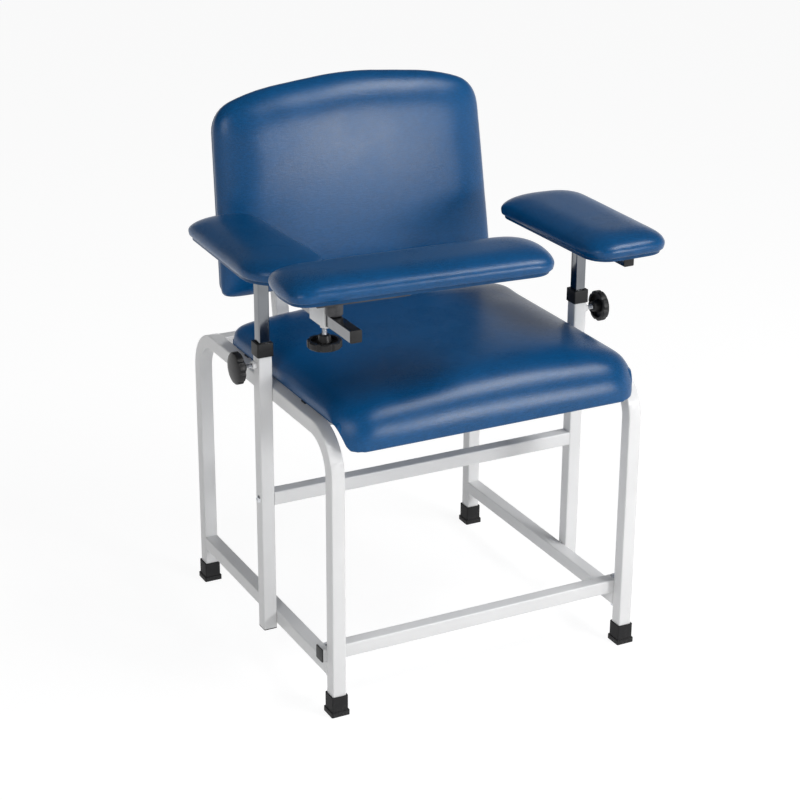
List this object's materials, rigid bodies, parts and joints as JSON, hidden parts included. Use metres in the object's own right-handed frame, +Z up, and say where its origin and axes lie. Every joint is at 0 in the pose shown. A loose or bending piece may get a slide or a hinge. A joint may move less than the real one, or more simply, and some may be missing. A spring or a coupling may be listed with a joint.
{
  "type": "blood-drawing chair",
  "caption": "Blood-drawing chair: steel tube frame, upholstered seat and fixed back, height-adjustable arm pads on chrome masts, and a sliding, swinging front arm pad",
  "frame": {"origin": "floor, at the middle of the overall box in plan", "axes": "+X to the viewer's right across the chair, +Y from the front to the back of the chair, +Z up"},
  "size_m": [0.7888, 0.7155, 0.9701],
  "materials": {
    "white_paint": "light grey-white powder coat",
    "chrome": "bright chrome plating",
    "zinc_steel": "zinc-plated steel",
    "dark_steel": "dark grey coated steel",
    "black_plastic": "black moulded plastic",
    "black_rubber": "black rubber",
    "blue_vinyl": "royal blue vinyl upholstery over foam",
    "covered_board": "plywood board covered in the blue vinyl"
  },
  "bodies": {
    "chair_frame": {"left_side_frame": "white_paint", "right_side_frame": "white_paint", "left_lower_rail": "white_paint", "right_lower_rail": "white_paint", "left_arm_post": "white_paint", "right_arm_post": "white_paint", "left_post_collar": "black_plastic", "right_post_collar": "black_plastic", "post_end_plugs": "black_plastic", "post_weld_nuts": "white_paint", "upper_crossbar": "white_paint", "crossbar_nut_blocks": "zinc_steel", "upper_crossbar_bolts": "zinc_steel", "lower_crossbar": "white_paint", "lower_crossbar_plugs": "black_plastic", "lower_crossbar_bolts": "zinc_steel", "lower_crossbar_washers": "zinc_steel", "lower_crossbar_nuts": "zinc_steel", "front_left_foot": "black_rubber", "front_right_foot": "black_rubber", "rear_left_foot": "black_rubber", "rear_right_foot": "black_rubber", "front_seat_bearer": "white_paint", "rear_seat_bearer": "white_paint", "seat_board": "covered_board", "seat_buffers": "black_rubber", "seat_and_back_screws": "zinc_steel", "seat_cushion": "blue_vinyl", "back_bearer": "white_paint", "left_back_upright": "white_paint", "right_back_upright": "white_paint", "upright_plugs": "black_plastic", "back_board": "covered_board", "back_cushion": "blue_vinyl"},
    "left_arm": {"left_mast": "chrome", "left_arm_tube": "chrome", "left_tube_plugs": "black_plastic", "left_pad_board": "covered_board", "left_pad_screws": "zinc_steel", "left_pad": "blue_vinyl"},
    "right_arm": {"right_mast": "chrome", "right_arm_tube": "chrome", "right_tube_plugs": "black_plastic", "right_pad_board": "covered_board", "right_pad_screws": "zinc_steel", "right_pad": "blue_vinyl"},
    "front_carriage": {"carriage_sleeve": "white_paint", "carriage_nut": "white_paint", "pivot_housing": "dark_steel"},
    "front_arm": {"front_arm_plate": "white_paint", "pivot_pin": "zinc_steel", "front_pad_board": "covered_board", "front_pad_screws": "zinc_steel", "front_pad": "blue_vinyl"},
    "left_clamp": {"left_knob": "black_plastic", "left_knob_stud": "zinc_steel"},
    "right_clamp": {"right_knob": "black_plastic", "right_knob_stud": "zinc_steel"},
    "front_clamp": {"front_knob": "black_plastic", "front_knob_stud": "zinc_steel"}
  },
  "joints": [
    {"name": "left_arm_height", "type": "slide", "parent": "chair_frame", "child": "left_arm", "axis": [0, 0, 1], "range_m": [-0.1, 0.07]},
    {"name": "right_arm_height", "type": "slide", "parent": "chair_frame", "child": "right_arm", "axis": [0, 0, 1], "range_m": [-0.077, 0.098]},
    {"name": "carriage_slide", "type": "slide", "parent": "left_arm", "child": "front_carriage", "axis": [0, -1, 0], "range_m": [0, 0.055]},
    {"name": "front_arm_swing", "type": "hinge", "parent": "front_carriage", "child": "front_arm", "pos_m": [-0.3115, -0.2795, 0.75], "axis": [0, 0, 1], "range_deg": [-110, 15]},
    {"name": "left_clamp_turn", "type": "hinge", "parent": "chair_frame", "child": "left_clamp", "pos_m": [-0.3515, 0.005, 0.562], "axis": [-1, 0, 0], "range_deg": [0, 300]},
    {"name": "right_clamp_turn", "type": "hinge", "parent": "chair_frame", "child": "right_clamp", "pos_m": [0.3515, 0.005, 0.562], "axis": [1, 0, 0], "range_deg": [0, 300]},
    {"name": "front_clamp_turn", "type": "hinge", "parent": "front_carriage", "child": "front_clamp", "pos_m": [-0.3115, -0.2435, 0.69], "axis": [0, 0, -1], "range_deg": [0, 300]}
  ]
}
